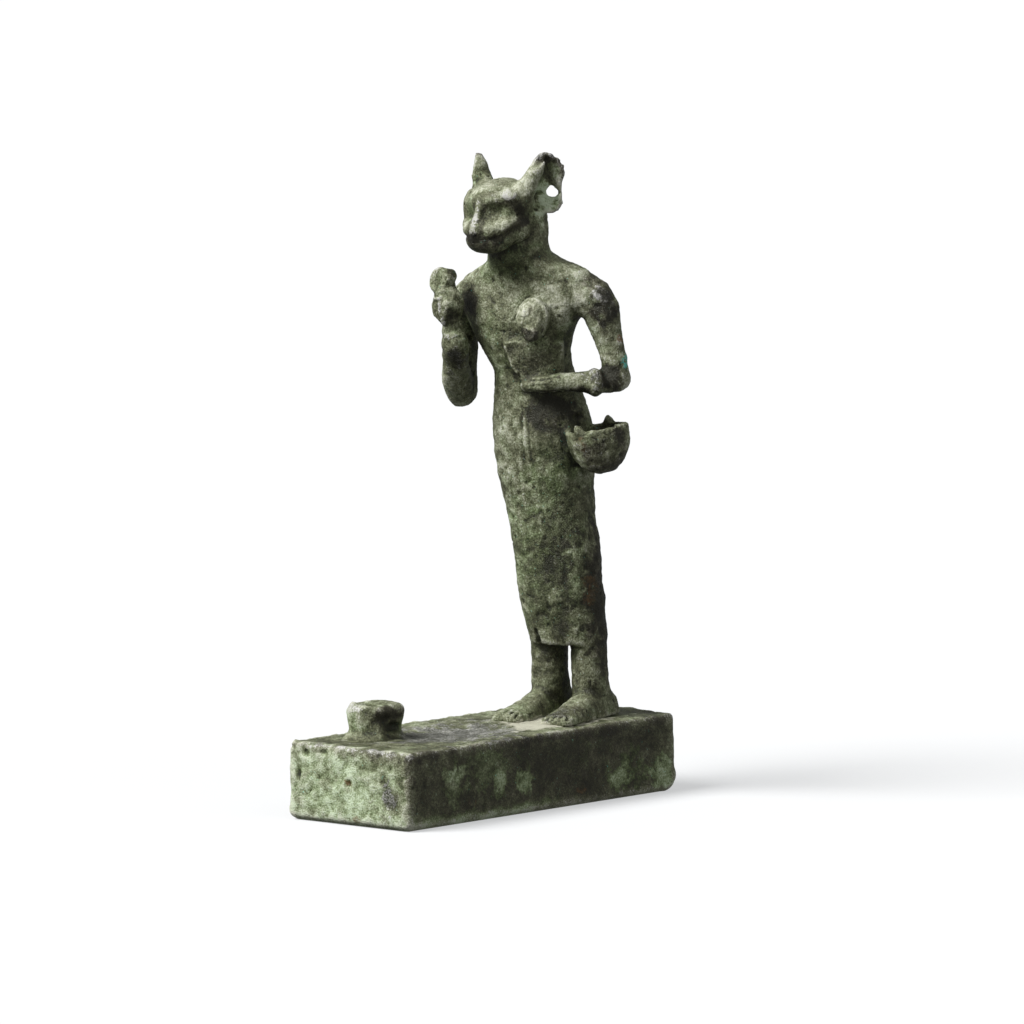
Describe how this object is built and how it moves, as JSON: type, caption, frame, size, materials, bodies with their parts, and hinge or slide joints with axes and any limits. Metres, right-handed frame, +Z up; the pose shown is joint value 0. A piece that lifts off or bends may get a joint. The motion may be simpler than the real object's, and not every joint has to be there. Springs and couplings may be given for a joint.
{
  "type": "statuette",
  "caption": "Small cast bronze statuette of a cat-headed woman with sistrum stub, aegis and basket, standing on a long plinth with a broken stump at its front.",
  "frame": {"origin": "centre of the plinth's flat underside", "axes": "+Z up, the figure looks along -Y, its own left side is +X, the plinth's length runs along Y"},
  "size_m": [0.0325, 0.0638, 0.1004],
  "materials": {
    "figure_bronze": "dark bronze with olive and pale green patina",
    "plinth_bronze": "dark bronze with mint green crust"
  },
  "bodies": {
    "root": {"figure": "figure_bronze", "plinth": "plinth_bronze"}
  },
  "joints": []
}
